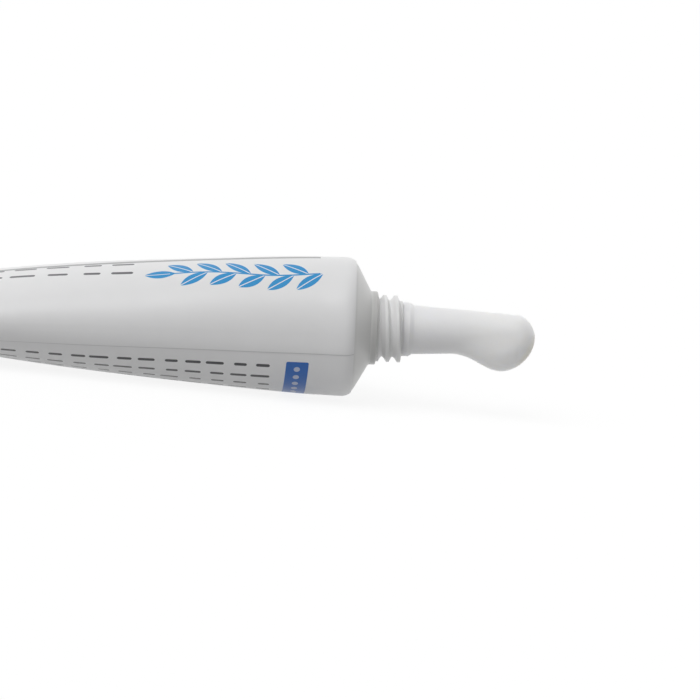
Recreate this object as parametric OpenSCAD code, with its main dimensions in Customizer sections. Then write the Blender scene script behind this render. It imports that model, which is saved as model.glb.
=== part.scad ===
// Squeeze tube of white adhesive. A laminated sleeve is welded to a moulded head, a nozzle is
// pressed into the head's neck, and a drop of adhesive hangs from the nozzle's end.
// The screw cap is off and stands mouth up behind the tail.
// Millimetres. The tube lies on its belly on z = 0, nozzle towards +X, front panel up.

/* [Sleeve] */
// Diameter of the sleeve at the shoulder
sleeve_d = 19; // [17:0.5:25]
// Length of the sleeve from the shoulder to the end of the tail
sleeve_len = 75; // [60:1:110]
// Thickness of the sleeve's wall
sleeve_wall = 0.4; // [0.3:0.05:0.6]
// Length of the flat seal across the tail
seal_len = 6; // [4:0.5:9]
// Distance behind the shoulder of the point that the tube lies on
rest_at = 28; // [20:1:35]
// Depth to which the table presses the soft belly flat
rest_flat = 0.2; // [0.1:0.05:0.4]

/* [Head] */
// Radius of the rounded edge between the sleeve and the shoulder
edge_r = 2.2; // [1.2:0.1:2.6]
// Angle between the shoulder's cone and the tube's axis
shoulder_angle = 61; // [50:1:70]
// Thickness of the shoulder
head_wall = 1; // [0.8:0.1:1.2]
// Length of the skirt that the sleeve is welded around
skirt_len = 2.5; // [1.5:0.5:4]
// Diameter of the plain collar under the thread
collar_d = 10.1; // [9.6:0.1:11]
// Length of the collar along the axis
collar_len = 0.9; // [0.8:0.05:1.6]
// Diameter of the neck at the root of its thread
neck_d = 7.8; // [7.4:0.1:8.2]
// Diameter over the crest of the neck's thread
thread_d = 9.2; // [8.8:0.1:9.4]
// Distance between two turns of the thread
thread_pitch = 1.5; // [1.3:0.05:1.6]
// Length of the neck past the collar
neck_len = 3.5; // [3.3:0.05:5]
// Diameter of the hole through the neck
bore_d = 5.2; // [4.6:0.1:5.6]

/* [Nozzle] */
// Diameter of the flange that sits on the neck
flange_d = 7.4; // [7:0.1:7.6]
// Length of the flange along the axis
flange_len = 1; // [0.8:0.1:1.6]
// Diameter of the stem where it leaves the flange
stem_d = 6.75; // [6.3:0.05:6.9]
// Diameter of the stem at its end
tip_d = 5.2; // [4.6:0.1:6]
// Length of the stem past the flange
stem_len = 16.5; // [12:0.5:22]
// Radius of the stem's rounded end
nose_r = 1.6; // [1:0.1:1.6]
// Diameter of the channel inside
channel_d = 3; // [2.4:0.1:3.2]
// Diameter of the outlet
outlet_d = 1.5; // [1:0.1:1.8]
// Length of the plug that is pressed into the neck
plug_len = 3.6; // [2.5:0.1:3.8]

/* [Adhesive] */
// How far the drop reaches back along the underside from its front
drop_len = 12.2; // [9:0.1:15]
// How far the drop's lowest point lies behind its front
drop_low_back = 4.5; // [3.5:0.1:6]
// How far the drop hangs below the tube's axis
drop_depth = 5.25; // [4.2:0.05:6.5]
// Thickness of the adhesive in front of the nozzle's end
drop_film = 0.95; // [0.3:0.05:1.2]

/* [Cap] */
// Largest diameter of the cap
cap_d = 14.4; // [13.4:0.2:17]
// Diameter of the cap's closed end
cap_end_d = 12.6; // [11.6:0.2:13]
// Thickness of the cap's end wall
cap_end_wall = 1.4; // [1:0.1:2.5]
// Number of grip ribs around the cap
rib_count = 24; // [12:2:30]
// Distance between the tail and the cap that stands behind it
cap_gap = 3; // [2:0.5:20]

/* [Hidden] */
// Clearances
fit_gap = 0.05;
press_gap = 0.02;
fill_gap = 0.1;
thread_gap = 0.15;
cap_clear = 0.25;

$fn = 96;

// Sleeve. Its girth stays the same while its thickness falls from the shoulder to the seal
sleeve_r = sleeve_d/2;
seal_from = sleeve_len - seal_len;
round_past_skirt = 0.5;
round_len = skirt_len + round_past_skirt;
taper_len = seal_from - round_len;
taper_straight = 0.40;
taper_belly = 0.25;
taper_end = 1 - taper_straight - taper_belly;
taper_end_power = 6;
taper_ease = 0.03;
girth_power = 1.67;
square_len = 12;
ring_n = 48;
square_angle = 180/ring_n;
taper_n = 22;
cavity_share = 0.985;

function ease(s) = (sqrt(s*s + taper_ease*taper_ease) - taper_ease)
    /(sqrt(1 + taper_ease*taper_ease) - taper_ease);
function share_left(s) = 1 - taper_straight*s - taper_belly*s*s - taper_end*pow(s, taper_end_power);
function half_thick(d) = d <= round_len ? sleeve_r
    : d >= seal_from ? sleeve_wall
    : sleeve_wall + (sleeve_r - sleeve_wall)*share_left(ease((d - round_len)/taper_len));
function half_wide(d) = sleeve_r*(PI/2 - (PI/2 - 1)*pow(half_thick(d)/sleeve_r, girth_power));
function unit(x) = max(0, min(1, x));
function ramp(x) = unit(x)*unit(x)*(3 - 2*unit(x));
function both(x) = max(-1, min(1, x));
function square_share(d) = ramp((d - seal_from + square_len)/square_len);

// Lean of the tube on the table, and the height of its axis above the table at the shoulder
slope_step = 0.01;
tilt = atan((half_thick(rest_at - slope_step) - half_thick(rest_at + slope_step))/(2*slope_step));
lift = rest_at*sin(tilt) + half_thick(rest_at)*cos(tilt) - rest_flat;
function table_z(d) = (d*sin(tilt) - lift)/cos(tilt);

// Ring of points around the sleeve at a distance behind the shoulder: an ellipse, square at the seal
// and flat where it would sink into the table
function section(d, inset) = [for (k = [0:ring_n - 1])
    let (t = 360*(k + 0.5)/ring_n, q = square_share(d))
    [-d,
     (half_wide(d) - inset)*((1 - q)*cos(t) + q*both(cos(t)/cos(square_angle))),
     max(
        (half_thick(d) - inset)*((1 - q)*sin(t) + q*both(sin(t)/sin(square_angle))),
        table_z(d) + inset)]];
function stations(last) = [for (i = [0:taper_n]) round_len + (last - round_len)*i/taper_n];
outer_stations = stations(seal_from);
cavity_end = round_len + taper_len*cavity_share;
inner_stations = stations(cavity_end);

// Head
skirt_r = sleeve_r - sleeve_wall - fit_gap;
skirt_wall = 0.8;
skirt_in_r = skirt_r - skirt_wall;
collar_r = collar_d/2;
neck_r = neck_d/2;
thread_r = thread_d/2;
bore_r = bore_d/2;
edge_steps = 8;
edge_x = edge_r*sin(shoulder_angle);
edge_end_r = sleeve_r - edge_r*(1 - cos(shoulder_angle));
// Axial place of the shoulder's cone at a radius, a depth below its outer face
function cone_x(r, depth) = edge_x + (edge_end_r - r)/tan(shoulder_angle) - depth/sin(shoulder_angle);
collar_at = cone_x(collar_r, 0);
collar_end = collar_at + collar_len;
collar_bevel = 0.3;
neck_end = collar_end + neck_len;

// Barrier disc
barrier_wall = 0.4;
barrier_gap = 0.15;
barrier_lip = 0.3;
barrier_out_r = skirt_in_r - barrier_gap;
barrier_in_r = bore_r + barrier_lip;

// Thread. One profile serves the neck and the cap
ridge_steps = 30;
ridge_sink = 0.2;
ridge_tip = 0.3;
ridge_base = 1.1;
ridge_fade = 40;
ridge_least = 0.1;
ridge_start_angle = 225;
ridge_turns = 2.25;
ridge_start = collar_end + fit_gap;

// Nozzle
flange_r = flange_d/2;
stem_r = stem_d/2;
tip_r = tip_d/2;
channel_r = channel_d/2;
outlet_r = outlet_d/2;
plug_r = bore_r - press_gap;
plug_back = neck_end - plug_len;
flange_end = neck_end + flange_len;
stem_bevel = 0.55;
stem_at = flange_end + stem_bevel;
nozzle_end = flange_end + stem_len;
nose_at = nozzle_end - nose_r;
choke_len = 2;
outlet_len = 2;
nose_steps = 6;
function stem_rad(x) = stem_r + (tip_r - stem_r)*unit((x - stem_at)/(nose_at - stem_at));

// Drop
drop_front = nozzle_end + drop_film;
drop_back = drop_front - drop_len;
drop_low = drop_front - drop_low_back;
drop_front_z = 0.6;
drop_half = 3.1;
drop_wide = 2.95;
drop_side = 0.2;
drop_sink = 0.1;
drop_tuck = 0.97;
drop_round = 1.85;
drop_ease = 1.25;
drop_first_angle = 5;
drop_n = 18;
drop_sides = 28;
function arch(x) = pow(1 - pow(unit(x), drop_round), 1/drop_round);
function swell(x) = (1 - cos(180*pow(unit((x - drop_back)/(drop_low - drop_back)), drop_ease)))/2;
function past_low(x) = (x - drop_low)/(drop_front - drop_low);
function past_nose(x) = (x - nose_at)/(drop_front - nose_at);
function drop_under(x) = x < drop_low
    ? stem_rad(x) + (drop_depth - stem_rad(drop_low))*swell(x)
    : drop_front_z + (drop_depth - drop_front_z)*arch(past_low(x));
function back_half(x) = (stem_rad(x) - drop_sink)*(1 - swell(x)) + drop_half*swell(x);
function nose_share(x) = ramp((x - drop_low)/(nose_at - drop_low));
function drop_over(x) = x < drop_low ? drop_under(x) - 2*back_half(x)
    : x < nose_at ? (drop_depth - 2*drop_half)*(1 - nose_share(x)) - tip_r*nose_share(x)
    : drop_front_z - (drop_front_z + tip_r)*arch(past_nose(x));
function drop_half_wide(x) = x < drop_low
    ? stem_rad(x)*drop_tuck*(1 - swell(x)) + drop_wide*swell(x)
    : (drop_wide*(1 - nose_share(x)) + (tip_r + drop_side)*nose_share(x))*arch(past_nose(x));
function drop_ring(x) = [for (k = [0:drop_sides - 1])
    let (t = 360*k/drop_sides, mid = (drop_under(x) + drop_over(x))/2)
    [x, drop_half_wide(x)*cos(t), -mid + (drop_under(x) - drop_over(x))/2*sin(t)]];
drop_rings = [for (i = [0:drop_n])
    let (t = drop_first_angle + (90 - drop_first_angle)*i/drop_n)
    drop_ring(drop_front - drop_len*(1 - cos(t)))];

// Cap
cap_r = cap_d/2;
cap_end_r = cap_end_d/2;
cap_shy = 0.2;
cap_mouth_at = collar_at + cap_shy;
cap_inside = nozzle_end + cap_clear - cap_mouth_at;
cap_len = cap_inside + cap_end_wall;
cap_lip_len = 3;
cap_edge = 0.6;
cap_recess_r = collar_r + thread_gap;
cap_recess_len = collar_end - cap_mouth_at + cap_clear;
cap_thread_r = thread_r + thread_gap;
cap_crest_r = neck_r + thread_gap;
cap_thread_len = neck_end - collar_end;
cap_cavity_r = flange_r + cap_clear;
cap_ridge_turns = 1.5;
cap_ridge_start = 0.6;
pin_gap = 0.1;
pin_r = outlet_r - pin_gap;
pin_len = 1.6;
pin_taper = 0.7;
rib_w = 0.7;
rib_out = 0.35;
rib_deep = 0.8;
rib_from = 1.6;

// Place of the tube and the cap on the table
front_x = drop_front*cos(tilt) + drop_front_z*sin(tilt);
tail_x = -sleeve_len*cos(tilt) - sleeve_wall*sin(tilt);
cap_back_x = tail_x - cap_gap - cap_d;
shift_x = -(front_x + cap_back_x)/2;
cap_x = cap_back_x + cap_r + shift_x;

module laid() {
    translate([shift_x, 0, lift])
        rotate([0, -tilt, 0])
            children();
}

// Turns an outline of radius and axial place about the tube's axis
module turned() {
    rotate([0, 90, 0])
        rotate_extrude()
            children();
}

// Closed solid through rings that hold the same number of points
module loft(rings) {
    n = len(rings[0]);
    last = len(rings) - 1;
    sides = [for (i = [0:last - 1]) for (j = [0:n - 1]) for (half = [0, 1])
        let (a = i*n + j, b = i*n + (j + 1)%n)
        half == 0 ? [a, b + n, a + n] : [a, b, b + n]];
    // Each end is closed by a strip between its upper and its lower points
    first_end = [for (j = [0:n/2 - 2]) for (half = [0, 1])
        half == 0 ? [j, n - 1 - j, n - 2 - j] : [j, n - 2 - j, j + 1]];
    last_end = [for (f = first_end) [for (k = [2, 1, 0]) last*n + f[k]]];
    polyhedron(points = [for (r = rings) for (p = r) p], faces = concat(sides, first_end, last_end));
}

// Helical ridge along X from a root radius to a crest radius, which may lie inside or outside it
module ridge(root_r, crest_r, start, start_angle, turns) {
    way = crest_r > root_r ? 1 : -1;
    steps = round(turns*ridge_steps);
    loft([for (i = [0:steps])
        let (
            turn = 360*turns*i/steps,
            t = start_angle + turn,
            x = start + thread_pitch*turn/360,
            full = unit(min(turn, 360*turns - turn)/ridge_fade),
            crest = root_r + (crest_r - root_r)*(ridge_least + (1 - ridge_least)*full),
            base = root_r - way*ridge_sink
        )
        [for (p = [[-ridge_base, base], [-ridge_tip, crest], [ridge_tip, crest], [ridge_base, base]])
            [x + way*p[0]/2, p[1]*cos(t), p[1]*sin(t)]]]);
}

// Closed tail, open at the shoulder: the inside runs forwards and the outside runs back
module sleeve() {
    inside = [for (i = [taper_n:-1:0]) section(inner_stations[i], sleeve_wall)];
    rim = [section(0, sleeve_wall), section(0, 0)];
    outside = [for (d = outer_stations) section(d, 0)];
    color([0.93, 0.93, 0.94])
        laid()
            loft(concat(inside, rim, outside, [section(sleeve_len, 0)]));
}

module head() {
    edge = [for (i = [0:edge_steps])
        let (t = shoulder_angle*i/edge_steps)
        [sleeve_r - edge_r*(1 - cos(t)), edge_r*sin(t)]];
    color([0.90, 0.90, 0.91])
        laid() {
            turned()
                polygon(concat(
                    [[skirt_r, -skirt_len], [skirt_r, 0]],
                    edge,
                    [[collar_r, collar_at], [collar_r, collar_end]],
                    [[neck_r, collar_end + collar_bevel], [neck_r, neck_end]],
                    [[bore_r, neck_end], [bore_r, cone_x(bore_r, head_wall)]],
                    [[skirt_in_r, cone_x(skirt_in_r, head_wall)], [skirt_in_r, -skirt_len]]));
            ridge(neck_r, thread_r, ridge_start, ridge_start_angle, ridge_turns);
        }
}

module barrier_disc() {
    near = head_wall + fit_gap;
    far = near + barrier_wall;
    color([0.75, 0.76, 0.78])
        laid()
            turned()
                polygon([
                    [barrier_out_r, cone_x(barrier_out_r, near)],
                    [barrier_in_r, cone_x(barrier_in_r, near)],
                    [barrier_in_r, cone_x(barrier_in_r, far)],
                    [barrier_out_r, cone_x(barrier_out_r, far)]]);
}

// Outer outline of the nozzle from a place on its stem to its end, grown by a gap
function nose_outline(from, gap) = concat(
    [[stem_rad(from) + gap, from]],
    [for (i = [0:nose_steps])
        let (t = 90*i/nose_steps)
        [tip_r - nose_r + (nose_r + gap)*cos(t), nose_at + (nose_r + gap)*sin(t)]]);

module nozzle() {
    color([0.91, 0.91, 0.92])
        laid()
            turned()
                polygon(concat(
                    [[channel_r, plug_back], [plug_r, plug_back], [plug_r, neck_end]],
                    [[flange_r, neck_end], [flange_r, flange_end]],
                    nose_outline(stem_at, 0),
                    [[outlet_r, nozzle_end], [outlet_r, nozzle_end - outlet_len]],
                    [[channel_r, nozzle_end - outlet_len - choke_len]]));
}

module glue_fill() {
    near = head_wall + fit_gap + barrier_wall + fill_gap;
    front_r = skirt_in_r - fill_gap;
    core_r = channel_r - fill_gap;
    throat_r = bore_r - fill_gap;
    jet_r = outlet_r - fill_gap;
    end_gap = 0.3;
    lap = 1;
    front_d = skirt_len + end_gap;
    back_d = cavity_end - end_gap;
    color([0.96, 0.95, 0.92])
        laid() {
            loft([for (d = concat([front_d], stations(back_d)))
                section(d, sleeve_wall + fill_gap)]);
            turned()
                polygon([
                    [0, -front_d - lap], [front_r, -front_d - lap],
                    [front_r, cone_x(front_r, near)], [throat_r, cone_x(throat_r, near)],
                    [throat_r, plug_back - fill_gap], [core_r, plug_back - fill_gap],
                    [core_r, nozzle_end - outlet_len - choke_len], [jet_r, nozzle_end - outlet_len],
                    [jet_r, nozzle_end - fill_gap], [0, nozzle_end - fill_gap]]);
        }
}

module glue_drop() {
    cut_from = drop_back - 1;
    color([0.95, 0.94, 0.90])
        laid()
            difference() {
                loft(drop_rings);
                turned()
                    polygon(concat(
                        [[0, cut_from]],
                        nose_outline(cut_from, press_gap),
                        [[0, nozzle_end + press_gap]]));
            }
}

module cap() {
    thread_top = cap_len - cap_recess_len;
    thread_low = thread_top - cap_thread_len;
    rib_top = cap_len - cap_lip_len;
    rib_lean = atan((cap_r - rib_out - cap_end_r)/rib_top);
    color([0.92, 0.92, 0.93])
        translate([cap_x, 0, 0]) {
            rotate_extrude()
                polygon([
                    [0, 0], [cap_end_r - cap_edge, 0], [cap_end_r, cap_edge],
                    [cap_r - rib_out, rib_top], [cap_r, rib_top],
                    [cap_r, cap_len], [cap_recess_r, cap_len], [cap_recess_r, thread_top],
                    [cap_thread_r, thread_top], [cap_thread_r, thread_low],
                    [cap_cavity_r, thread_low], [cap_cavity_r, cap_end_wall],
                    [pin_r, cap_end_wall], [pin_r*pin_taper, cap_end_wall + pin_len],
                    [0, cap_end_wall + pin_len]]);
            translate([0, 0, thread_top - cap_ridge_start])
                rotate([0, 90, 0])
                    ridge(cap_thread_r, cap_crest_r, 0, 0, cap_ridge_turns);
            for (i = [0:rib_count - 1])
                rotate([0, 0, 360*i/rib_count])
                    translate([cap_end_r, 0, 0])
                        rotate([0, rib_lean, 0])
                            translate([rib_out - rib_deep, -rib_w/2, rib_from])
                                cube([rib_deep, rib_w, rib_top - rib_from]);
        }
}

sleeve();
head();
barrier_disc();
nozzle();
glue_fill();
glue_drop();
cap();
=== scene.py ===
"""Looks of a squeeze tube of white adhesive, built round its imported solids.

Lengths are millimetres in the tube's own frame, as in the part's source: X runs from the
shoulder to the nozzle and Z out of the front panel. laid() puts them into the row frame in metres.
"""

import math

import bmesh
import bpy
import numpy as np
from mathutils import Matrix, Vector


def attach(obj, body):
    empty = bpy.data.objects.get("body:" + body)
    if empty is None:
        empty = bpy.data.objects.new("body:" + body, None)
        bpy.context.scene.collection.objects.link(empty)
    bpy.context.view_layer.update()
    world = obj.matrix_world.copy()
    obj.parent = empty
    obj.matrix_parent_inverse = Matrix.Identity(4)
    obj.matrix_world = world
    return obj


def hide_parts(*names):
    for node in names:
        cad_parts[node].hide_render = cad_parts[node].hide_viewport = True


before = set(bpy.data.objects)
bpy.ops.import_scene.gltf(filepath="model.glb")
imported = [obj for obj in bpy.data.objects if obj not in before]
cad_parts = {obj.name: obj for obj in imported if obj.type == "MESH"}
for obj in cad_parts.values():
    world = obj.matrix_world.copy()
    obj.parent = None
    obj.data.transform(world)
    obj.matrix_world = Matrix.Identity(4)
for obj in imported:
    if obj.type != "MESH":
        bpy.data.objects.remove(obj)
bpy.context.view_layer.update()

MM = 0.001
TINY = 0.001

# Sizes of the sleeve
SLEEVE_R = 9.5
SLEEVE_LEN = 75.0
SLEEVE_WALL = 0.4
SEAL_LEN = 6.0
SKIRT_LEN = 2.5
REST_AT = 28.0
REST_FLAT = 0.2
ROUND_LEN = SKIRT_LEN + 0.5
SEAL_FROM = SLEEVE_LEN - SEAL_LEN
TAPER_LEN = SEAL_FROM - ROUND_LEN
TAPER_STRAIGHT = 0.40
TAPER_BELLY = 0.25
TAPER_END = 1 - TAPER_STRAIGHT - TAPER_BELLY
TAPER_END_POWER = 6
TAPER_EASE = 0.03
GIRTH_POWER = 1.67
SQUARE_LEN = 12.0
SQUARE_ANGLE = math.radians(3.75)
CAVITY_END = ROUND_LEN + TAPER_LEN * 0.985
GIRTH = 2 * math.pi * SLEEVE_R

# Sizes of the head
EDGE_R = 2.2
SHOULDER_ANGLE = math.radians(61)
HEAD_WALL = 1.0
SKIRT_R = SLEEVE_R - SLEEVE_WALL - 0.05
SKIRT_IN_R = SKIRT_R - 0.8
COLLAR_R = 5.05
COLLAR_LEN = 0.9
NECK_R = 3.9
NECK_LEN = 3.5
BORE_R = 2.6
THREAD_R = 4.6
THREAD_PITCH = 1.5
THREAD_TURNS = 2.25
THREAD_START_ANGLE = 225
RIDGE_BACK = 0.72
RIDGE_BACK_SLOPE = 0.57
RIDGE_AHEAD = 0.62
RIDGE_AHEAD_SLOPE = 0.37
RIDGE_STRAIGHT = 0.7
RIDGE_CURVED = 0.3
RIDGE_FADE = 40
EDGE_X = EDGE_R * math.sin(SHOULDER_ANGLE)
EDGE_END_R = SLEEVE_R - EDGE_R * (1 - math.cos(SHOULDER_ANGLE))


def cone_x(radius, depth):
    """Axial place of the shoulder's cone at a radius, a depth below its outer face."""
    run = (EDGE_END_R - radius) / math.tan(SHOULDER_ANGLE)
    return EDGE_X + run - depth / math.sin(SHOULDER_ANGLE)


COLLAR_AT = cone_x(COLLAR_R, 0)
COLLAR_END = COLLAR_AT + COLLAR_LEN
NECK_END = COLLAR_END + NECK_LEN
THREAD_START = COLLAR_END + 0.05

# Sizes of the nozzle
FLANGE_R = 3.7
STEM_R = 3.375
TIP_R = 2.6
NOSE_R = 1.6
CHANNEL_R = 1.5
OUTLET_R = 0.75
OUTLET_LEN = 2.0
CHANNEL_TAPER = 2.0
PLUG_R = BORE_R - 0.02
PLUG_BACK = NECK_END - 3.6
FLANGE_END = NECK_END + 1.0
STEM_AT = FLANGE_END + 0.55
NOZZLE_END = FLANGE_END + 16.5
NOSE_AT = NOZZLE_END - NOSE_R

# Sizes of the drop
DROP_FRONT = NOZZLE_END + 0.95
DROP_LEN = 12.2
DROP_BACK = DROP_FRONT - DROP_LEN
DROP_LOW = DROP_FRONT - 4.5
DROP_DEPTH = 5.25
DROP_FRONT_Z = 0.6
DROP_HALF = 3.1
DROP_WIDE = 2.95
DROP_SIDE = 0.2
DROP_SINK = 0.1
DROP_TUCK = 0.97
DROP_ROUND = 1.85
DROP_EASE = 1.25
WET_LEN = 3.0
WET_FILM = 0.02
WET_FROM = DROP_BACK + WET_LEN / 2
CLEAR_LEN = 3.5
FRONT_STEP = 0.004

# Sizes of the cap
CAP_R = 7.2
CAP_END_R = 6.3
CAP_FOOT_R = CAP_END_R - 0.1
CAP_END_WALL = 1.4
CAP_MOUTH_AT = COLLAR_AT + 0.2
CAP_LEN = NOZZLE_END + 0.25 - CAP_MOUTH_AT + CAP_END_WALL
CAP_LIP_LEN = 3.0
CAP_RECESS_R = COLLAR_R + 0.15
CAP_RECESS_LEN = COLLAR_END - CAP_MOUTH_AT + 0.25
CAP_THREAD_R = THREAD_R + 0.15
CAP_CREST_R = NECK_R + 0.15
CAP_CAVITY_R = FLANGE_R + 0.25
CAP_THREAD_TURNS = 1.5
CAP_THREAD_IN = 0.6
CAP_GAP = 3.0
PIN_R = OUTLET_R - 0.1
PIN_LEN = 1.6
AXIS_R = 0.05
RIB_COUNT = 24
RIB_OUT = 0.35
RIB_FROM = 1.6
RIB_RISE = 1.2
RIB_ROUND = 1.4
LIP_PROUD = 0.05
LIP_SLOPE = 0.1


def unit(x):
    return np.clip(x, 0, 1)


def ramp(x):
    return unit(x) ** 2 * (3 - 2 * unit(x))


def half_thick(d):
    """Half of the sleeve's thickness at a distance behind the shoulder."""
    s = unit((d - ROUND_LEN) / TAPER_LEN)
    top = math.sqrt(1 + TAPER_EASE**2) - TAPER_EASE
    s = (np.sqrt(s * s + TAPER_EASE**2) - TAPER_EASE) / top
    left = 1 - TAPER_STRAIGHT * s - TAPER_BELLY * s * s - TAPER_END * s**TAPER_END_POWER
    return SLEEVE_WALL + (SLEEVE_R - SLEEVE_WALL) * left


def half_wide(d):
    share = (half_thick(d) / SLEEVE_R) ** GIRTH_POWER
    return SLEEVE_R * (math.pi / 2 - (math.pi / 2 - 1) * share)


# Place on the table
SLOPE_STEP = 0.01
SLOPE_FALL = half_thick(REST_AT - SLOPE_STEP) - half_thick(REST_AT + SLOPE_STEP)
TILT = math.atan(SLOPE_FALL / (2 * SLOPE_STEP))
SIN, COS = math.sin(TILT), math.cos(TILT)
LIFT = REST_AT * SIN + float(half_thick(REST_AT)) * COS - REST_FLAT
FRONT_X = DROP_FRONT * COS + DROP_FRONT_Z * SIN
TAIL_X = -SLEEVE_LEN * COS - SLEEVE_WALL * SIN
CAP_BACK_X = TAIL_X - CAP_GAP - 2 * CAP_R
SHIFT_X = -(FRONT_X + CAP_BACK_X) / 2
CAP_X = CAP_BACK_X + CAP_R + SHIFT_X


def laid(points):
    """Points of the tube's frame, in millimetres, in the row frame in metres."""
    x, y, z = np.moveaxis(np.asarray(points, float), -1, 0)
    return np.stack([x * COS - z * SIN + SHIFT_X, y, x * SIN + z * COS + LIFT], -1) * MM


def stood(points):
    """Points of the cap's frame, in millimetres, in the row frame in metres."""
    return (np.asarray(points, float) + [CAP_X, 0, 0]) * MM


# Meshes

SHARP = math.radians(32)
THREAD_SHARP = math.radians(75)
UV_SPAN = 100.0
NO_PRINT = -50.0


def skin(name, rings, closed=False, wrap=None, sharp=SHARP):
    """Mesh piece through rings of points. Its two ends are closed by fans, or meet if closed.

    wrap gives each ring's place along the sleeve and each column's place around it.
    Edges turn smoothly up to the angle sharp.
    """
    m, n = rings.shape[:2]
    points = rings.reshape(-1, 3)
    i = np.arange(m if closed else m - 1)[:, None]
    j = np.arange(n)[None, :]
    near, far, side = i * n, (i + 1) % m * n, (j + 1) % n
    faces = np.stack([near + j, near + side, far + side, far + j], -1).reshape(-1, 4).tolist()
    if not closed:
        points = np.concatenate([points, [rings[0].mean(0), rings[-1].mean(0)]])
        first, last = m * n, m * n + 1
        faces += [[first, (k + 1) % n, k] for k in range(n)]
        faces += [[last, (m - 1) * n + k, (m - 1) * n + (k + 1) % n] for k in range(n)]
    mesh = bpy.data.meshes.new(name)
    mesh.from_pydata(points.tolist(), [], faces)
    if wrap is not None:
        along, around = wrap
        around = np.append(around, around[0] + GIRTH)
        a, b = np.broadcast_arrays(i, j)
        corners = np.stack([
            np.stack([around[b], around[b + 1], around[b + 1], around[b]], -1),
            np.stack([along[a], along[a], along[a + 1], along[a + 1]], -1)], -1)
        flat = np.full((len(mesh.loops), 2), NO_PRINT)
        flat[:corners.size // 2] = corners.reshape(-1, 2)
        layer = mesh.uv_layers.new(name="wrap")
        layer.uv.foreach_set("vector", (flat / UV_SPAN + [0.5, 0]).astype(np.float32).ravel())
    work = bmesh.new()
    work.from_mesh(mesh)
    bmesh.ops.recalc_face_normals(work, faces=work.faces)
    work.to_mesh(mesh)
    work.free()
    mesh.shade_smooth()
    mesh.set_sharp_from_angle(angle=sharp)
    piece = bpy.data.objects.new(name, mesh)
    bpy.context.scene.collection.objects.link(piece)
    return piece


def filleted(corners, steps=6):
    """Closed outline of (place, radius, fillet) corners with the corners rounded."""
    out = []
    for k, (x, r, fillet) in enumerate(corners):
        p = np.array([x, r])
        if fillet <= 0:
            out.append(p)
            continue
        back = np.array(corners[k - 1][:2]) - p
        on = np.array(corners[(k + 1) % len(corners)][:2]) - p
        u, v = back / np.linalg.norm(back), on / np.linalg.norm(on)
        half = math.acos(np.clip(u @ v, -1, 1)) / 2
        middle = (u + v) / np.linalg.norm(u + v)
        centre = p + middle * fillet / math.sin(half)
        start = p + u * fillet / math.tan(half) - centre
        end = p + v * fillet / math.tan(half) - centre
        a = math.atan2(start[1], start[0])
        sweep = (math.atan2(end[1], end[0]) - a + math.pi) % (2 * math.pi) - math.pi
        for s in np.linspace(0, 1, steps):
            t = a + sweep * s
            out.append(centre + fillet * np.array([math.cos(t), math.sin(t)]))
    return np.array(out)


def dense(outline, step, low, high):
    """Outline with points at most a step apart where its place lies between low and high."""
    out = []
    for p, q in zip(outline, np.roll(outline, -1, 0)):
        inside = low <= min(p[0], q[0]) and max(p[0], q[0]) <= high
        n = max(1, math.ceil(np.linalg.norm(q - p) / step)) if inside else 1
        out += [p + (q - p) * k / n for k in range(n)]
    return np.array(out)


def thread_height(x, angle, start, start_angle, turns):
    """Share of a thread's height at an axial place and an angle in degrees.

    Its flank towards the start is the gentler one.
    """
    best = np.zeros(np.broadcast(x, angle).shape)
    for k in range(-1, 4):
        turn = (angle - start_angle) % 360 + 360 * k
        off = x - start - THREAD_PITCH * turn / 360
        back = (RIDGE_BACK + off) / RIDGE_BACK_SLOPE
        ahead = (RIDGE_AHEAD - off) / RIDGE_AHEAD_SLOPE
        flank = unit(np.minimum(back, ahead))
        full = unit(np.minimum(turn, 360 * turns - turn) / RIDGE_FADE)
        best = np.maximum(best, (RIDGE_STRAIGHT * flank + RIDGE_CURVED * flank**2) * full)
    return best


def turned(outline, radii, angles):
    """Rings of a closed outline about the tube's axis. Angles start at +Y and run to +Z."""
    x = np.broadcast_to(outline[:, :1], radii.shape)
    return np.stack([x, radii * np.cos(angles), radii * np.sin(angles)], -1)


# Sleeve mesh

SEAM = 17.4
SEAM_STEP = 0.09
SEAM_COLUMNS = SEAM + np.array([-0.3, -0.15, -0.06, 0.0, 0.05, 0.12, 0.3])
LAP_FROM = SEAM - 2.5
LAP_RISE = 2.2
LAP_TO = SEAM + 0.02
LAP_END = 70.0
LAP_FADE = 4.0
FILM_PROUD = 0.06
FILM_PROUD_LEN = 3.0
FILM_EDGE = 0.14
FILM_END = math.radians(41)
CRIMP_PITCH = 0.75
CRIMP_DEEP = 0.06
CRIMP_FROM = SEAL_FROM + 0.4
CRIMP_TO = SLEEVE_LEN - 0.3
CUT_EDGE = [0.998, 0.8]
SWAY = 0.05
SWAY_ALONG = 4.1
SWAY_AROUND = 4.3
SWAY_FROM = 5.0
SWAY_TO = 67.0
SWAY_FADE = 8.0
SWAY_SIDE = 25.0
SWAY_SIDE_FADE = 6.0
COLUMN_COUNT = 160
BODY_RINGS = 130

SIDE_HALF = SQUARE_ANGLE / (2 * math.pi)
CORNERS = GIRTH * np.array([-0.25 - SIDE_HALF, -0.25 + SIDE_HALF, 0.25 - SIDE_HALF, 0.25 + SIDE_HALF])
FINE = np.radians(np.arange(0, 360, 0.125) - 90)


def columns():
    """Places around the sleeve, from the front's middle, that have a column of points."""
    even = np.linspace(-GIRTH / 2, GIRTH / 2, COLUMN_COUNT + 1)[:-1]
    even = even[np.abs(even[:, None] - CORNERS).min(1) > 0.1]
    return np.unique(np.round(np.concatenate([even, CORNERS, SEAM_COLUMNS]), 6))


AROUND = columns()
LAP = SEAM_STEP * ramp((AROUND - LAP_FROM) / LAP_RISE) * (AROUND < LAP_TO)


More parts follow.
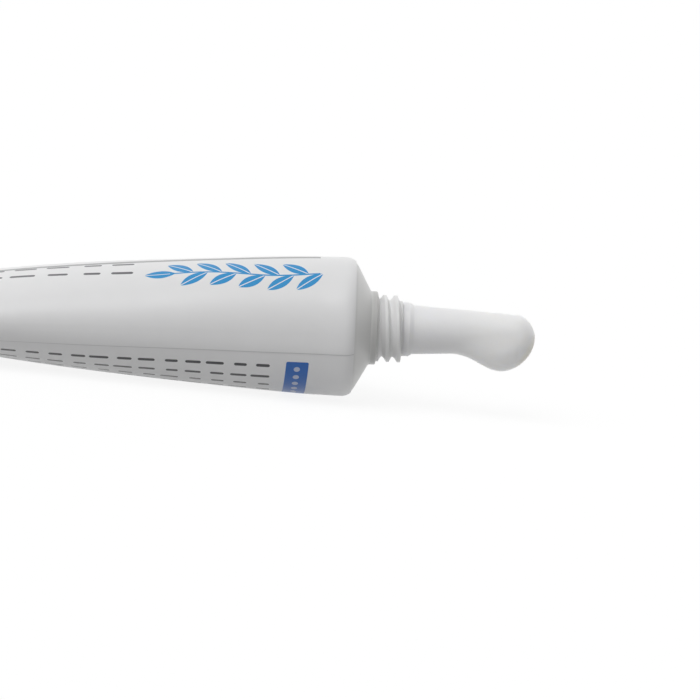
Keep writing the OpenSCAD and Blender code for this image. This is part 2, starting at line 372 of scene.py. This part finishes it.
def section(d, inset):
    """Ring of the sleeve, spread around its girth from the middle of the belly.

    The corners that the tail's flat sides have keep their columns all along the sleeve.
    """
    q = ramp((d - SEAL_FROM + SQUARE_LEN) / SQUARE_LEN)
    across = np.clip(np.cos(FINE) / math.cos(SQUARE_ANGLE), -1, 1)
    upright = np.clip(np.sin(FINE) / math.sin(SQUARE_ANGLE), -1, 1)
    y = (half_wide(d) - inset) * ((1 - q) * np.cos(FINE) + q * across)
    z = (half_thick(d) - inset) * ((1 - q) * np.sin(FINE) + q * upright)
    z = np.maximum(z, (d * SIN - LIFT) / COS + inset)
    ring = np.stack([y, z], -1)
    length = np.linalg.norm(np.roll(ring, -1, 0) - ring, axis=1)
    at = np.append(0, np.cumsum(length))
    ring = np.append(ring, ring[:1], 0)
    marks = np.concatenate([[-GIRTH / 2], CORNERS, [GIRTH / 2]])
    want = np.interp(AROUND, marks, at[np.round((marks / GIRTH + 0.5) * len(FINE)).astype(int)])
    return np.stack([np.interp(want, at, ring[:, k]) for k in (0, 1)], -1)


def outer_ring(d):
    """Outer ring with the lap seam, the crimp of the seal and a slight sway of the film.

    The film doesn't sway near the shoulder, the seal and the belly.
    """
    ring = section(d, 0)
    run = np.roll(ring, -1, 0) - np.roll(ring, 1, 0)
    out = np.stack([-run[:, 1], run[:, 0]], -1)
    out /= np.linalg.norm(out, axis=1)[:, None]
    out *= np.sign(np.sum(out * ring))
    calm = ramp((d - SWAY_FROM) / SWAY_FADE) * ramp((SWAY_TO - d) / SWAY_FADE)
    calm = calm * ramp((SWAY_SIDE - np.abs(AROUND)) / SWAY_SIDE_FADE)
    wave = np.sin(d / SWAY_ALONG + 0.6 * np.sin(AROUND / 5)) * np.cos(AROUND / SWAY_AROUND + 1.3)
    away = LAP * ramp((LAP_END - d) / LAP_FADE) + SWAY * wave * calm
    if CRIMP_FROM < d < CRIMP_TO:
        turn = 2 * math.pi * (d - CRIMP_FROM) / CRIMP_PITCH
        away = away - CRIMP_DEEP * (0.5 - 0.5 * math.cos(turn))
    away = away + FILM_PROUD * ramp(1 - d / FILM_PROUD_LEN)
    ring = ring + out * away[:, None]
    ring[:, 1] = np.maximum(ring[:, 1], (d * SIN - LIFT) / COS)
    return np.column_stack([np.full(len(ring), -d), ring])


def edge_ring(angle, proud):
    """Ring of the film where it wraps the shoulder's rounded edge."""
    radius = SLEEVE_R - EDGE_R + (EDGE_R + proud) * math.cos(angle)
    turn = AROUND / SLEEVE_R
    radius = radius + LAP * math.cos(angle) * (proud > 0)
    x = np.full(len(AROUND), (EDGE_R + proud) * math.sin(angle))
    return np.column_stack([x, -radius * np.sin(turn), radius * np.cos(turn)])


def make_sleeve():
    seal = np.arange(SLEEVE_LEN - 0.05, SEAL_FROM, -CRIMP_PITCH / 8)
    body = np.linspace(SEAL_FROM, 0, BODY_RINGS)
    angles = np.linspace(0, FILM_END, 14)[1:]
    end = outer_ring(SLEEVE_LEN)
    end[:, 1:] *= CUT_EDGE
    rings, along = [end], [SLEEVE_LEN]
    for d in np.concatenate([seal, body]):
        rings.append(outer_ring(d))
        along.append(d)
    for a in angles:
        rings.append(edge_ring(a, FILM_PROUD + (FILM_EDGE - FILM_PROUD) * ramp(a / FILM_END)))
        along.append(-EDGE_R * a)
    for a, sunk in ((FILM_END, FILM_EDGE), (0, FILM_PROUD)):
        rings.append(edge_ring(a, -sunk))
        along.append(NO_PRINT)
    for d in np.append(0, np.linspace(ROUND_LEN, CAVITY_END, 26)):
        ring = section(d, SLEEVE_WALL)
        rings.append(np.column_stack([np.full(len(ring), -d), ring]))
        along.append(NO_PRINT)
    return skin("tube_sleeve", laid(rings), wrap=(np.array(along, float), AROUND))


# Meshes of the head, nozzle, drop and cap

def make_head():
    corner_x = EDGE_X - (SLEEVE_R - EDGE_END_R) / math.tan(SHOULDER_ANGLE)
    outline = filleted([
        (-SKIRT_LEN, SKIRT_IN_R, 0), (-SKIRT_LEN, SKIRT_R, 0), (-TINY, SKIRT_R, 0),
        (-TINY, SLEEVE_R, 0), (corner_x, SLEEVE_R, EDGE_R),
        (COLLAR_AT, COLLAR_R, 0.3), (COLLAR_END, COLLAR_R, 0.22), (COLLAR_END + 0.3, NECK_R, 0.1),
        (NECK_END, NECK_R, 0.15), (NECK_END, BORE_R, 0.1), (cone_x(BORE_R, HEAD_WALL), BORE_R, 0),
        (cone_x(SKIRT_IN_R, HEAD_WALL), SKIRT_IN_R, 0)], steps=10)
    outline = dense(outline, 0.04, COLLAR_END - 0.1, NECK_END)
    angles = np.radians(np.arange(0, 360, 2.0))
    radii = np.repeat(outline[:, 1:], len(angles), 1)
    angle = np.degrees(angles)[None, :]
    height = thread_height(outline[:, :1], angle, THREAD_START, THREAD_START_ANGLE, THREAD_TURNS)
    outside = (outline[:, 1] >= NECK_R - 0.16) & (outline[:, 0] > COLLAR_END - 0.1)
    crest = NECK_R + (THREAD_R - NECK_R) * height
    radii = np.where(outside[:, None] & (height > 0), np.maximum(radii, crest), radii)
    return skin("tube_head", laid(turned(outline, radii, angles)), closed=True, sharp=THREAD_SHARP)


def make_nozzle():
    nose = [
        (NOSE_AT + NOSE_R * math.sin(t), TIP_R - NOSE_R * (1 - math.cos(t)), 0)
        for t in np.linspace(0, math.pi / 2, 14)]
    outline = filleted([
        (PLUG_BACK, CHANNEL_R, 0), (PLUG_BACK, PLUG_R, 0.2), (NECK_END, PLUG_R, 0),
        (NECK_END, FLANGE_R, 0.12), (FLANGE_END, FLANGE_R, 0.2), (STEM_AT, STEM_R, 0.4),
        *nose, (NOZZLE_END, OUTLET_R, 0.1),
        (NOZZLE_END - OUTLET_LEN, OUTLET_R, 0),
        (NOZZLE_END - OUTLET_LEN - CHANNEL_TAPER, CHANNEL_R, 0)], steps=12)
    outline = dense(outline, 0.8, STEM_AT, NOSE_AT)
    angles = np.radians(np.arange(0, 360, 2.5))
    radii = np.repeat(outline[:, 1:], len(angles), 1)
    return skin("tube_nozzle", laid(turned(outline, radii, angles)), closed=True)


def stem_rad(x):
    return STEM_R + (TIP_R - STEM_R) * unit((x - STEM_AT) / (NOSE_AT - STEM_AT))


def nose_rad(x):
    """Radius of the nozzle's outside, down to nothing past its end."""
    if x <= NOSE_AT:
        return stem_rad(x)
    if x >= NOZZLE_END:
        return 0.0
    return TIP_R - NOSE_R + math.sqrt(NOSE_R**2 - (x - NOSE_AT) ** 2)


def arch(x):
    return (1 - unit(x) ** DROP_ROUND) ** (1 / DROP_ROUND)


def swell(x):
    """Share of its full depth that the drop has at a place behind its lowest point."""
    s = unit((x - DROP_BACK) / (DROP_LOW - DROP_BACK)) ** DROP_EASE
    return (1 - math.cos(math.pi * s)) / 2


def drop_shape(x):
    """How deep the drop reaches under the axis, where its upper side lies, and its half width."""
    past_nose = (x - NOSE_AT) / (DROP_FRONT - NOSE_AT)
    if x < DROP_LOW:
        full = swell(x)
        under = stem_rad(x) + (DROP_DEPTH - stem_rad(DROP_LOW)) * full
        over = under - 2 * ((stem_rad(x) - DROP_SINK) * (1 - full) + DROP_HALF * full)
        return under, over, stem_rad(x) * DROP_TUCK * (1 - full) + DROP_WIDE * full
    under = DROP_FRONT_Z + (DROP_DEPTH - DROP_FRONT_Z) * arch((x - DROP_LOW) / (DROP_FRONT - DROP_LOW))
    share = ramp((x - DROP_LOW) / (NOSE_AT - DROP_LOW))
    if x < NOSE_AT:
        over = (DROP_DEPTH - 2 * DROP_HALF) * (1 - share) - TIP_R * share
    else:
        over = DROP_FRONT_Z - (DROP_FRONT_Z + TIP_R) * arch(past_nose)
    return under, over, (DROP_WIDE * (1 - share) + (TIP_R + DROP_SIDE) * share) * arch(past_nose)


def make_drop():
    """The drop. It thins to a film around the nozzle, and its sides run straight down from the stem.

    Its rings lie a front step back, so that its front stays where the solid's front is.
    """
    turn = np.radians(np.arange(0, 360, 3.0))
    side = np.radians(np.arange(0, 360, 0.5))
    slant = np.cos(turn[:, None] - side[None, :])
    rings = []
    for s in np.append(np.linspace(90, 2, 90), [1.4, 0.9, 0.5, 0.25]):
        x = DROP_FRONT - DROP_LEN * (1 - math.cos(math.radians(s)))
        under, over, wide = drop_shape(x)
        deep, tall = -(under + over) / 2, (under - over) / 2
        wet = nose_rad(x) + WET_FILM * (2 * ramp((x - DROP_BACK) / WET_LEN) - 1)
        reach = deep * np.sin(side) + np.hypot(wide * np.cos(side), tall * np.sin(side))
        reach = np.maximum(reach, max(wet, 0.0))
        far = np.where(slant > 0.02, reach[None, :] / np.maximum(slant, 0.02), np.inf).min(1)
        rings.append(np.column_stack([
            np.full(len(turn), x - FRONT_STEP), far * np.cos(turn), far * np.sin(turn)]))
    return skin("glue_bead", laid(rings))


def make_cap():
    thread_top = CAP_LEN - CAP_RECESS_LEN
    thread_low = thread_top - NECK_LEN
    rib_top = CAP_LEN - CAP_LIP_LEN
    outline = filleted([
        (0, AXIS_R, 0), (0, CAP_FOOT_R, 0.6), (rib_top, CAP_R - RIB_OUT, 0.1),
        (rib_top, CAP_R, 0.15), (CAP_LEN, CAP_R, 0.25), (CAP_LEN, CAP_RECESS_R, 0.15),
        (thread_top, CAP_RECESS_R, 0), (thread_top, CAP_THREAD_R, 0), (thread_low, CAP_THREAD_R, 0),
        (thread_low, CAP_CAVITY_R, 0.15), (CAP_END_WALL, CAP_CAVITY_R, 0.4), (CAP_END_WALL, PIN_R, 0.1),
        (CAP_END_WALL + PIN_LEN, PIN_R * 0.7, 0.1), (CAP_END_WALL + PIN_LEN, AXIS_R, 0)])
    outline = dense(outline, 0.35, 0.3, rib_top)
    outline = dense(outline, 0.06, thread_low - TINY, thread_top + TINY)
    angles = np.radians(np.arange(0, 360, 360 / (RIB_COUNT * 12)))
    radii = np.repeat(outline[:, 1:], len(angles), 1)
    z = outline[:, :1]
    round_rib = (0.5 + 0.5 * np.cos(angles * RIB_COUNT)) ** RIB_ROUND
    wall = np.interp(z, [0, rib_top], [CAP_FOOT_R, CAP_R - RIB_OUT])
    under_lip = LIP_SLOPE * (outline[:, 1:] - wall)
    rib = wall + (RIB_OUT - LIP_PROUD) * ramp((z - RIB_FROM) / RIB_RISE) * round_rib[None, :] + under_lip
    ribbed = (z > 0.7) & (z < rib_top + 0.2) & (outline[:, 1:] > CAP_FOOT_R - 0.1)
    radii = np.where(ribbed, np.maximum(radii, rib), radii)
    inner = (z > thread_low) & (z < thread_top) & (np.abs(outline[:, 1:] - CAP_THREAD_R) < 0.02)
    angle = 90 - np.degrees(angles)[None, :]
    height = thread_height(thread_top - CAP_THREAD_IN - z, angle, 0, 0, CAP_THREAD_TURNS)
    radii = radii - np.where(inner, (CAP_THREAD_R - CAP_CREST_R) * height, 0)
    rings = np.stack([
        radii * np.cos(angles), radii * np.sin(angles), np.broadcast_to(z, radii.shape)], -1)
    return skin("screw_cap_shell", stood(rings), sharp=THREAD_SHARP)


# Materials

class Sum:
    """A number in a material's node tree, so that shapes can be written as sums."""

    tree = None

    def __init__(self, socket):
        self.socket = socket

    def __add__(self, other):
        return calc("ADD", self, other)

    def __sub__(self, other):
        return calc("SUBTRACT", self, other)

    def __rsub__(self, other):
        return calc("SUBTRACT", other, self)

    def __mul__(self, other):
        return calc("MULTIPLY", self, other)

    def __truediv__(self, other):
        return calc("DIVIDE", self, other)

    __radd__ = __add__
    __rmul__ = __mul__


def feed(sockets, numbers):
    """Give each socket its number, which may be a Sum or a plain one."""
    for socket, number in zip(sockets, numbers):
        if isinstance(number, Sum):
            Sum.tree.links.new(number.socket, socket)
        else:
            socket.default_value = number


def calc(operation, *numbers, clamp=False):
    node = Sum.tree.nodes.new("ShaderNodeMath")
    node.operation = operation
    node.use_clamp = clamp
    feed(node.inputs, numbers)
    return Sum(node.outputs[0])


def size_of(x):
    return calc("ABSOLUTE", x)


def edge(inside, blur=0.03):
    """1 where a length is above nothing, with a slightly soft edge."""
    return calc("MULTIPLY_ADD", inside, 1 / blur, 0.5, clamp=True)


def both(*masks):
    out = masks[0]
    for mask in masks[1:]:
        out = out * mask
    return out


def chance(a, b, seed):
    """Number from 0 to 1 that is fixed for each pair of whole numbers."""
    joined = Sum.tree.nodes.new("ShaderNodeCombineXYZ")
    feed(joined.inputs, (a, b, seed))
    white = Sum.tree.nodes.new("ShaderNodeTexWhiteNoise")
    white.noise_dimensions = "3D"
    Sum.tree.links.new(joined.outputs[0], white.inputs["Vector"])
    return Sum(white.outputs["Value"])


def opened(material):
    """Principled shader of a material, whose tree the sums go into from here on."""
    Sum.tree = material.node_tree
    return next(n for n in Sum.tree.nodes if n.type == "BSDF_PRINCIPLED")


def begin(name):
    """New material, and its principled shader."""
    material = bpy.data.materials.new(name)
    material.use_nodes = True
    return material, opened(material)


def join(source, socket):
    Sum.tree.links.new(source.socket if isinstance(source, Sum) else source, socket)


def tube_place():
    """Place along the tube's axis and above it, in millimetres of the tube's frame."""
    place = Sum.tree.nodes.new("ShaderNodeTexCoord")
    split = Sum.tree.nodes.new("ShaderNodeSeparateXYZ")
    join(place.outputs["Object"], split.inputs[0])
    along = Sum(split.outputs["X"]) / MM - SHIFT_X
    up = Sum(split.outputs["Z"]) / MM - LIFT
    return along * COS + up * SIN, up * COS - along * SIN


def noise(scale, detail=3.0, roughness=0.5):
    """Noise over the object, with the scale in waves per millimetre."""
    place = Sum.tree.nodes.new("ShaderNodeTexCoord")
    node = Sum.tree.nodes.new("ShaderNodeTexNoise")
    node.inputs["Scale"].default_value = scale / MM
    node.inputs["Detail"].default_value = detail
    node.inputs["Roughness"].default_value = roughness
    join(place.outputs["Object"], node.inputs["Vector"])
    return Sum(node.outputs["Fac"])


def mixed(share, a, b):
    """Colour a where share is 0 and b where it is 1. Either may be a colour or a socket."""
    node = Sum.tree.nodes.new("ShaderNodeMix")
    node.data_type = "RGBA"
    sockets = [s for s in node.inputs if s.type == "RGBA"]
    join(share, node.inputs[0])
    for socket, colour in zip(sockets, (a, b)):
        if isinstance(colour, tuple):
            socket.default_value = (*colour, 1)
        else:
            join(colour, socket)
    return next(s for s in node.outputs if s.type == "RGBA")


def bump(shader, height, distance, strength=1.0):
    node = Sum.tree.nodes.new("ShaderNodeBump")
    node.inputs["Strength"].default_value = strength
    node.inputs["Distance"].default_value = distance * MM
    join(height, node.inputs["Height"])
    join(node.outputs["Normal"], shader.inputs["Normal"])


def bar_rows(w, d, first, pitch, rows, thick, start, end, step, seed):
    """Rows of plain rounded bars of mixed lengths along the tube, one bar to each step."""
    row = calc("FLOOR", (w - first) / pitch + 0.5)
    off = w - first - row * pitch
    k = calc("FLOOR", (d - start) / step)
    into = d - start - k * step
    length = step * (0.5 + 0.36 * chance(k, row, seed))
    half = length * 0.5 - thick / 2
    dx = calc("MAXIMUM", size_of(into - length * 0.5 - 0.1) - half, 0.0)
    ink = edge(thick / 2 - calc("SQRT", dx * dx + off * off))
    stop = end - 2.2 * step * chance(row, 7.0, seed)
    return both(
        ink,
        calc("GREATER_THAN", row, -0.5),
        calc("LESS_THAN", row, rows - 0.5),
        calc("GREATER_THAN", k, -0.5),
        calc("LESS_THAN", (k + 1.0) * step + start, stop))


def sprig(w, d, middle, start):
    """A stem along the tube with five leaves at each side by turns, and one at its end."""
    pitch, count, lean, long, broad = 3.9, 5, math.radians(36), 4.5, 0.86
    end = start + (count - 0.1) * pitch
    y = w - middle - 0.35 * calc("SINE", (d - start) * (2 * math.pi / (end - start)))
    side = calc("GREATER_THAN", y, 0.0)
    run = d - start + side * (pitch / 2)
    x = calc("FLOORED_MODULO", run, pitch) - 0.35
    at = size_of(y)
    a = x * math.cos(lean) + at * math.sin(lean)
    b = at * math.cos(lean) - x * math.sin(lean)
    share = a / long
    leaf = share * (1.0 - share) * (4 * broad) - size_of(b)
    rib = edge(size_of(b) - 0.07)
    whole = both(calc("GREATER_THAN", run, 0.0), calc("LESS_THAN", run, count * pitch))
    leaves = both(edge(leaf), rib, whole)
    stem = both(edge(0.13 - at), calc("GREATER_THAN", d, start - 1.2), calc("LESS_THAN", d, end))
    top = (d - end + 0.8) / (long * 0.95)
    tip = both(edge(top * (1.0 - top) * (4 * broad) - at), edge(at - 0.07))
    return calc("MAXIMUM", calc("MAXIMUM", leaves, stem), tip)


def panel(w, d, low, high, start, end, round_r):
    """Length inside a rounded rectangle."""
    dx = size_of(d - (start + end) / 2) - ((end - start) / 2 - round_r)
    dy = size_of(w - (low + high) / 2) - ((high - low) / 2 - round_r)
    ax, ay = calc("MAXIMUM", dx, 0.0), calc("MAXIMUM", dy, 0.0)
    return round_r - calc("SQRT", ax * ax + ay * ay)


WHITE_FILM = (0.83, 0.83, 0.84)
BLUE = (0.004, 0.29, 0.65)
DEEP_BLUE = (0.003, 0.12, 0.46)
INK = (0.045, 0.045, 0.05)
SOFT_INK = (0.11, 0.11, 0.12)
# Painted shade colour for the step of the lap seam.
SEAM_SHADE_GREY = (0.30, 0.30, 0.31)

# Print, by its place around the sleeve from the front's middle and along it from the shoulder
RULE_AT = 0.4
RULE_LEAN = 0.02
RULE_HALF = 0.5
RULE_FROM = 3.4
RULE_TO = 63.0
SPRIG_AT = 5.7
SPRIG_FROM = 4.6
BOX_LOW = 18.8
BOX_HIGH = 41.0
BOX_FROM = 4.45
BOX_TO = 7.5
BOX_LEAN = 0.055
BOX_ROUND = 0.25
DOT_LOW = 19.3
DOT_HIGH = 40.3
DOT_PITCH = 1.5
DOT_R = 0.42


def film_material():
    """White laminate with a generic print, a thin line of painted shade along the lap seam's step and a
    faint fleck.
    """
    material, shader = begin("printed_laminate")
    place = Sum.tree.nodes.new("ShaderNodeUVMap")
    place.uv_map = "wrap"
    split = Sum.tree.nodes.new("ShaderNodeSeparateXYZ")
    join(place.outputs["UV"], split.inputs[0])
    w = (Sum(split.outputs["X"]) - 0.5) * UV_SPAN
    d = Sum(split.outputs["Y"]) * UV_SPAN
    back = w + GIRTH * calc("LESS_THAN", w, 0.0)

    fleck = noise(0.35, 4.0)
    base = mixed(fleck, (0.84, 0.84, 0.845), (0.87, 0.87, 0.875))
    rule_off = size_of(w - RULE_AT - RULE_LEAN * d)
    rule = both(edge(RULE_HALF - rule_off), edge(d - RULE_FROM), edge(RULE_TO - d))
    near_bars = bar_rows(
        w, d, first=2.2, pitch=3.0, rows=2, thick=0.62, start=28.6, end=62.0, step=4.4, seed=3.0)
    far_bars = bar_rows(
        w, d, first=-8.2, pitch=3.0, rows=2, thick=0.62, start=6.0, end=62.0, step=4.4, seed=5.0)
    grey = calc("MAXIMUM", rule * 0.72, calc("MAXIMUM", near_bars, far_bars))
    dark = bar_rows(
        back, d, first=19.6, pitch=2.15, rows=10, thick=0.5, start=9.6, end=56.0, step=3.1, seed=11.0)
    colour = mixed(grey, base, SOFT_INK)
    colour = mixed(dark, colour, INK)
    colour = mixed(sprig(w, d, SPRIG_AT, SPRIG_FROM), colour, BLUE)
    box_d = d - BOX_LEAN * (back - BOX_LOW)
    box = panel(back, box_d, BOX_LOW, BOX_HIGH, BOX_FROM, BOX_TO, BOX_ROUND)
    dot_at = calc("FLOORED_MODULO", back - DOT_LOW, DOT_PITCH) - DOT_PITCH / 2
    dot_off = box_d - (BOX_FROM + BOX_TO) / 2
    dot = edge(DOT_R - calc("SQRT", dot_at * dot_at + dot_off * dot_off))
    dots = both(dot, edge(back - DOT_LOW), edge(DOT_HIGH - back))
    colour = mixed(edge(box), colour, DEEP_BLUE)
    colour = mixed(dots * 0.6, colour, WHITE_FILM)
    # Painted shade: a thin grey line along the step where the lap seam's film overlaps.
    seam = edge(0.07 - size_of(w - SEAM - 0.03), blur=0.06)
    colour = mixed(seam * 0.45, colour, SEAM_SHADE_GREY)
    join(colour, shader.inputs["Base Color"])
    join(0.27 + 0.10 * noise(0.12, 2.0), shader.inputs["Roughness"])
    shader.inputs["Specular IOR Level"].default_value = 0.5
    bump(shader, noise(0.22, 3.0), 0.03)
    return material


def plastic_material(name, low, high, rough, cloudy=0.12, deep=0.7):
    """Satin moulded plastic with a faint grain and slightly cloudy white."""
    material, shader = begin(name)
    join(mixed(noise(0.5, 4.0), low, high), shader.inputs["Base Color"])
    join(rough - 0.05 + 0.1 * noise(1.5, 3.0), shader.inputs["Roughness"])
    shader.inputs["Subsurface Weight"].default_value = cloudy
    shader.inputs["Subsurface Radius"].default_value = (1.0, 1.0, 0.9)
    shader.inputs["Subsurface Scale"].default_value = deep * MM
    bump(shader, noise(3.0, 2.0), 0.006)
    return material


def shade_shoulder_and_collar(material):
    """Paint shade onto the head plastic: a dark grey on the collar, in the recess under the shoulder's
    edge, and a lighter grey on the whole shoulder.
    """
    shader = opened(material)
    plain = shader.inputs["Base Color"].links[0].from_socket
    x, _ = tube_place()
    shoulder = edge(COLLAR_AT + 0.1 - x, blur=0.5)
    collar = edge(COLLAR_END + 0.2 - x, blur=0.5)
    # Painted shade: dark grey on the collar below the shoulder's edge, lighter grey on the shoulder.
    grey = mixed(shoulder, (0.56, 0.56, 0.55), (0.75, 0.75, 0.74))
    join(mixed(collar, plain, grey), shader.inputs["Base Color"])


def clear_away_from_film(material, cloudy, ahead):
    """Let light sink in only away from the edge where the adhesive's film meets the nozzle."""
    shader = opened(material)
    x, _ = tube_place()
    away = calc("MULTIPLY", x - WET_FROM, (1 if ahead else -1) / CLEAR_LEN, clamp=True)
    join(away * cloudy, shader.inputs["Subsurface Weight"])


def adhesive_material():
    """Wet white latex, as pale as the nozzle where it is thin, with painted shade in a darker, yellower
    tone at the drop's low front.
    """
    material, shader = begin("wet_adhesive")
    x, z = tube_place()
    # Painted shade: darker and yellower towards the drop's low front.
    low_front_shade = calc("MULTIPLY_ADD", (x - DROP_FRONT) * 1.3 - z * 0.8, 1 / 1.6, 0.3, clamp=True)
    cloud = noise(0.4, 3.0)
    base = mixed(low_front_shade, (0.955, 0.955, 0.945), (0.74, 0.70, 0.61))
    thick = calc("MULTIPLY", x - WET_FROM, 1 / 5, clamp=True)
    base = mixed(thick, (0.925, 0.925, 0.93), base)
    join(mixed(cloud * 0.2, base, (0.94, 0.935, 0.925)), shader.inputs["Base Color"])
    join(0.28 + 0.08 * cloud, shader.inputs["Roughness"])
    shader.inputs["Subsurface Radius"].default_value = (1.0, 0.97, 0.9)
    shader.inputs["Subsurface Scale"].default_value = 4.0 * MM
    shader.inputs["IOR"].default_value = 1.45
    bump(shader, noise(0.3, 2.0), 0.03)
    return material


def dress(piece, material, body, node):
    """Give a piece its material, the body it rides on and the node it stands for."""
    piece.data.materials.append(material)
    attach(piece, body)
    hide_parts(node)


NOZZLE_CLOUDY = 0.8
DROP_CLOUDY = 0.9

film = film_material()
head_plastic = plastic_material("head_plastic_white", (0.79, 0.79, 0.79), (0.82, 0.82, 0.82), 0.31)
shade_shoulder_and_collar(head_plastic)
nozzle_plastic = plastic_material(
    "nozzle_plastic_white", (0.91, 0.91, 0.915), (0.94, 0.94, 0.945), 0.38, NOZZLE_CLOUDY, deep=2.4)
cap_plastic = plastic_material("cap_plastic_white", (0.80, 0.80, 0.81), (0.84, 0.84, 0.85), 0.36)
barrier_plastic = plastic_material("barrier_plastic_grey", (0.62, 0.63, 0.65), (0.68, 0.69, 0.71), 0.45)
adhesive = adhesive_material()
clear_away_from_film(nozzle_plastic, NOZZLE_CLOUDY, ahead=False)
clear_away_from_film(adhesive, DROP_CLOUDY, ahead=True)

dress(make_sleeve(), film, "tube", "sleeve")
dress(make_head(), head_plastic, "tube", "head")
dress(make_nozzle(), nozzle_plastic, "tube", "nozzle")
dress(make_drop(), adhesive, "tube", "glue_drop")
dress(make_cap(), cap_plastic, "screw_cap", "cap")
for name, material in (("barrier_disc", barrier_plastic), ("glue_fill", adhesive)):
    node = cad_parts[name]
    node.data.materials.clear()
    node.data.materials.append(material)


# Floor, light and camera

SEEN_RAYS = ("Is Camera Ray", "Is Glossy Ray", "Is Transmission Ray")
FLOOR_SIZE = 6.0
FLOOR_GAP = 0.05
FLOOR_GLOW = 0.865
FLOOR_SHADE = 0.16
FLOOR_BOUNCE = 0.45
FLOOR_LIGHT = 0.14
TOP_SKY = 1.2
TOP_SHARP = 5.0
TOP_FROM = (0, 0, 1)
BACK_SKY = 2.2
BACK_SHARP = 8.0
BACK_FROM = (0.62, 0.74, 0.26)
KEY_POWER = 1.6
KEY_ANGLE = 50
KEY_FROM = (-0.47, -0.47, 0.74)


def light_path(tree, *names):
    """1 for rays of any of the named kinds."""
    Sum.tree = tree
    path = tree.nodes.new("ShaderNodeLightPath")
    out = Sum(path.outputs[names[0]])
    for name in names[1:]:
        out = calc("MAXIMUM", out, Sum(path.outputs[name]))
    return out


def lit_grey(tree, grey, strength):
    """Shader of a grey matt surface with some light of its own."""
    matt = tree.nodes.new("ShaderNodeBsdfDiffuse")
    matt.inputs["Color"].default_value = (grey, grey, grey, 1)
    light = tree.nodes.new("ShaderNodeEmission")
    light.inputs["Strength"].default_value = strength
    lit = tree.nodes.new("ShaderNodeAddShader")
    join(matt.outputs[0], lit.inputs[0])
    join(light.outputs[0], lit.inputs[1])
    return lit.outputs[0]


def floor_material():
    """Nearly white to the camera and in reflections, and a plain lit table to other rays."""
    material = bpy.data.materials.new("pale_floor")
    material.use_nodes = True
    tree = material.node_tree
    tree.nodes.clear()
    pick = tree.nodes.new("ShaderNodeMixShader")
    out = tree.nodes.new("ShaderNodeOutputMaterial")
    join(light_path(tree, *SEEN_RAYS), pick.inputs[0])
    join(lit_grey(tree, FLOOR_BOUNCE, FLOOR_LIGHT), pick.inputs[1])
    join(lit_grey(tree, FLOOR_SHADE, FLOOR_GLOW), pick.inputs[2])
    join(pick.outputs[0], out.inputs["Surface"])
    return material


def make_floor():
    half = FLOOR_SIZE / 2
    mesh = bpy.data.meshes.new("floor")
    corners = [(x * half, y * half, -FLOOR_GAP * MM) for x, y in ((-1, -1), (1, -1), (1, 1), (-1, 1))]
    mesh.from_pydata(corners, [], [(0, 1, 2, 3)])
    mesh.materials.append(floor_material())
    floor = bpy.data.objects.new("floor", mesh)
    bpy.context.scene.collection.objects.link(floor)


def soft_box(toward, middle, sharp, strength):
    """Light of the sky that falls off smoothly around a middle direction."""
    facing = Sum.tree.nodes.new("ShaderNodeVectorMath")
    facing.operation = "DOT_PRODUCT"
    join(toward, facing.inputs[0])
    facing.inputs[1].default_value = Vector(middle).normalized()
    return calc("POWER", calc("MAXIMUM", Sum(facing.outputs["Value"]), 0.0), sharp) * strength


def make_world():
    world = bpy.data.worlds.new("studio")
    bpy.context.scene.world = world
    world.use_nodes = True
    tree = world.node_tree
    shader = next(n for n in tree.nodes if n.type == "BACKGROUND")
    shader.inputs["Color"].default_value = (1, 1, 1, 1)
    seen = light_path(tree, *SEEN_RAYS)
    toward = tree.nodes.new("ShaderNodeTexCoord").outputs["Generated"]
    above = soft_box(toward, TOP_FROM, TOP_SHARP, TOP_SKY)
    sky = above + soft_box(toward, BACK_FROM, BACK_SHARP, BACK_SKY)
    join(seen + (1.0 - seen) * sky, shader.inputs["Strength"])


def make_key():
    """Broad soft light from the tail's side and in front, the same all over the floor."""
    light = bpy.data.lights.new("key", "SUN")
    light.energy = KEY_POWER
    light.angle = math.radians(KEY_ANGLE)
    holder = bpy.data.objects.new("key", light)
    bpy.context.scene.collection.objects.link(holder)
    holder.location = Vector(KEY_FROM)
    holder.rotation_mode = "QUATERNION"
    holder.rotation_quaternion = (-Vector(KEY_FROM)).to_track_quat("-Z", "Y")


CAM_ELEVATION = math.radians(9.27)
CAM_AZIMUTH = math.radians(-1.494)
CAM_ROLL = math.radians(2.719)
CAM_AWAY = 400.0
CAM_WIDTH = 96.31
CAM_AIM = (1.067, -3.234)
SENSOR = 36.0


def make_camera():
    """Camera at the photograph's angle, worked out in the tube's own frame."""
    back = Vector((
        math.sin(CAM_AZIMUTH) * math.cos(CAM_ELEVATION),
        -math.cos(CAM_AZIMUTH) * math.cos(CAM_ELEVATION),
        math.sin(CAM_ELEVATION)))
    level = Vector((math.cos(CAM_AZIMUTH), math.sin(CAM_AZIMUTH), 0))
    upright = back.cross(level)
    right = level * math.cos(CAM_ROLL) + upright * math.sin(CAM_ROLL)
    up = upright * math.cos(CAM_ROLL) - level * math.sin(CAM_ROLL)
    lean = Matrix.Rotation(-TILT, 3, "Y")
    right, up, back = lean @ right, lean @ up, lean @ back
    aim = Vector((SHIFT_X, 0, LIFT)) + right * CAM_AIM[0] + up * CAM_AIM[1]
    data = bpy.data.cameras.new("camera")
    data.sensor_width = SENSOR
    data.lens = SENSOR * CAM_AWAY / CAM_WIDTH
    data.clip_start = 0.01
    data.clip_end = 20.0
    camera = bpy.data.objects.new("camera", data)
    bpy.context.scene.collection.objects.link(camera)
    turn = Matrix((right, up, back)).transposed().to_4x4()
    camera.matrix_world = Matrix.Translation((aim + back * CAM_AWAY) * MM) @ turn
    bpy.context.scene.camera = camera


make_floor()
make_world()
make_key()
make_camera()
bpy.context.scene.view_settings.view_transform = "Standard"
